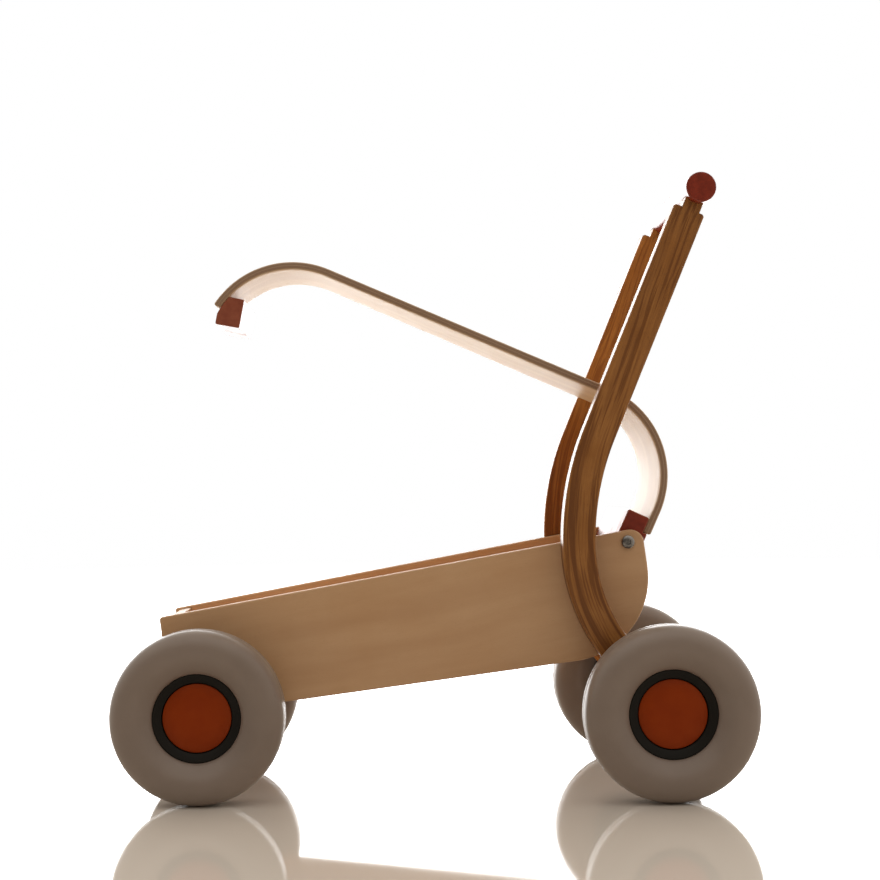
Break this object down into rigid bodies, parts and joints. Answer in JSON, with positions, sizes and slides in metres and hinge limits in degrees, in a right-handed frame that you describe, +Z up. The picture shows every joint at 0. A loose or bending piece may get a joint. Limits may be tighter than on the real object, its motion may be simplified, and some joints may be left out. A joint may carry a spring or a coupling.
{
  "type": "baby push walker",
  "caption": "Wooden push walker: splayed plywood box on balloon-tyred wheels, curved laminated uprights with a round push bar, and a hinged bent-plywood bow with red bars.",
  "frame": {"origin": "on the floor, midway between the front and rear axles and between the two sides", "axes": "+X towards the push bar (the child walks behind it towards -X), +Y to the walker's right-hand side, +Z up"},
  "size_m": [0.565, 0.32, 0.5506],
  "materials": {
    "birch_plywood": "clear satin varnish",
    "beech": "clear satin varnish",
    "laminated_bentwood": "clear satin varnish over dark and light laminations",
    "bent_plywood_strip": "clear satin varnish",
    "red_lacquer": "dark red satin lacquer",
    "grey_tyre": "matt grey rubber",
    "black_plastic": "matt moulded",
    "orange_plastic": "satin moulded",
    "white_nylon": "moulded",
    "zinc_steel": "bright zinc"
  },
  "bodies": {
    "frame": {"side_panel_left": "birch_plywood", "side_panel_right": "birch_plywood", "floor_board": "birch_plywood", "front_board": "birch_plywood", "rear_board": "birch_plywood", "front_axle_beam": "beech", "upright_left": "laminated_bentwood", "upright_right": "laminated_bentwood", "upright_screw_left_1": "zinc_steel", "upright_screw_left_2": "zinc_steel", "upright_screw_right_1": "zinc_steel", "upright_screw_right_2": "zinc_steel", "beam_screw_left": "zinc_steel", "beam_screw_right": "zinc_steel", "handle_bar": "red_lacquer", "front_axle": "zinc_steel", "rear_axle": "zinc_steel", "wheel_spacer_front_left": "white_nylon", "axle_cap_front_left": "zinc_steel", "wheel_spacer_front_right": "white_nylon", "axle_cap_front_right": "zinc_steel", "wheel_spacer_rear_left": "white_nylon", "axle_cap_rear_left": "zinc_steel", "wheel_spacer_rear_right": "white_nylon", "axle_cap_rear_right": "zinc_steel"},
    "bow": {"bow_strip": "bent_plywood_strip", "bow_pivot_bar": "red_lacquer", "bow_front_bar": "red_lacquer", "bow_screw_front_left": "zinc_steel", "bow_screw_front_right": "zinc_steel", "bow_screw_rear_left": "zinc_steel", "bow_screw_rear_right": "zinc_steel", "pivot_bolt_left": "zinc_steel", "pivot_washer_left": "white_nylon", "pivot_bolt_right": "zinc_steel", "pivot_washer_right": "white_nylon"},
    "wheel_front_left": {"tyre_front_left": "grey_tyre", "wheel_core_front_left": "black_plastic", "hub_cap_front_left": "orange_plastic", "wheel_bush_front_left": "white_nylon"},
    "wheel_front_right": {"tyre_front_right": "grey_tyre", "wheel_core_front_right": "black_plastic", "hub_cap_front_right": "orange_plastic", "wheel_bush_front_right": "white_nylon"},
    "wheel_rear_left": {"tyre_rear_left": "grey_tyre", "wheel_core_rear_left": "black_plastic", "hub_cap_rear_left": "orange_plastic", "wheel_bush_rear_left": "white_nylon"},
    "wheel_rear_right": {"tyre_rear_right": "grey_tyre", "wheel_core_rear_right": "black_plastic", "hub_cap_rear_right": "orange_plastic", "wheel_bush_rear_right": "white_nylon"}
  },
  "joints": [
    {"name": "bow_pivot", "type": "hinge", "parent": "frame", "child": "bow", "pos_m": [0.17756, 0, 0.22293], "axis": [0, 1, 0], "range_deg": [-36.5, 52]},
    {"name": "wheel_front_left_spin", "type": "hinge", "parent": "frame", "child": "wheel_front_left", "pos_m": [-0.206, -0.104, 0.0765], "axis": [0, 1, 0], "continuous": true},
    {"name": "wheel_front_right_spin", "type": "hinge", "parent": "frame", "child": "wheel_front_right", "pos_m": [-0.206, 0.104, 0.0765], "axis": [0, 1, 0], "continuous": true},
    {"name": "wheel_rear_left_spin", "type": "hinge", "parent": "frame", "child": "wheel_rear_left", "pos_m": [0.206, -0.135, 0.0765], "axis": [0, 1, 0], "continuous": true},
    {"name": "wheel_rear_right_spin", "type": "hinge", "parent": "frame", "child": "wheel_rear_right", "pos_m": [0.206, 0.135, 0.0765], "axis": [0, 1, 0], "continuous": true}
  ]
}
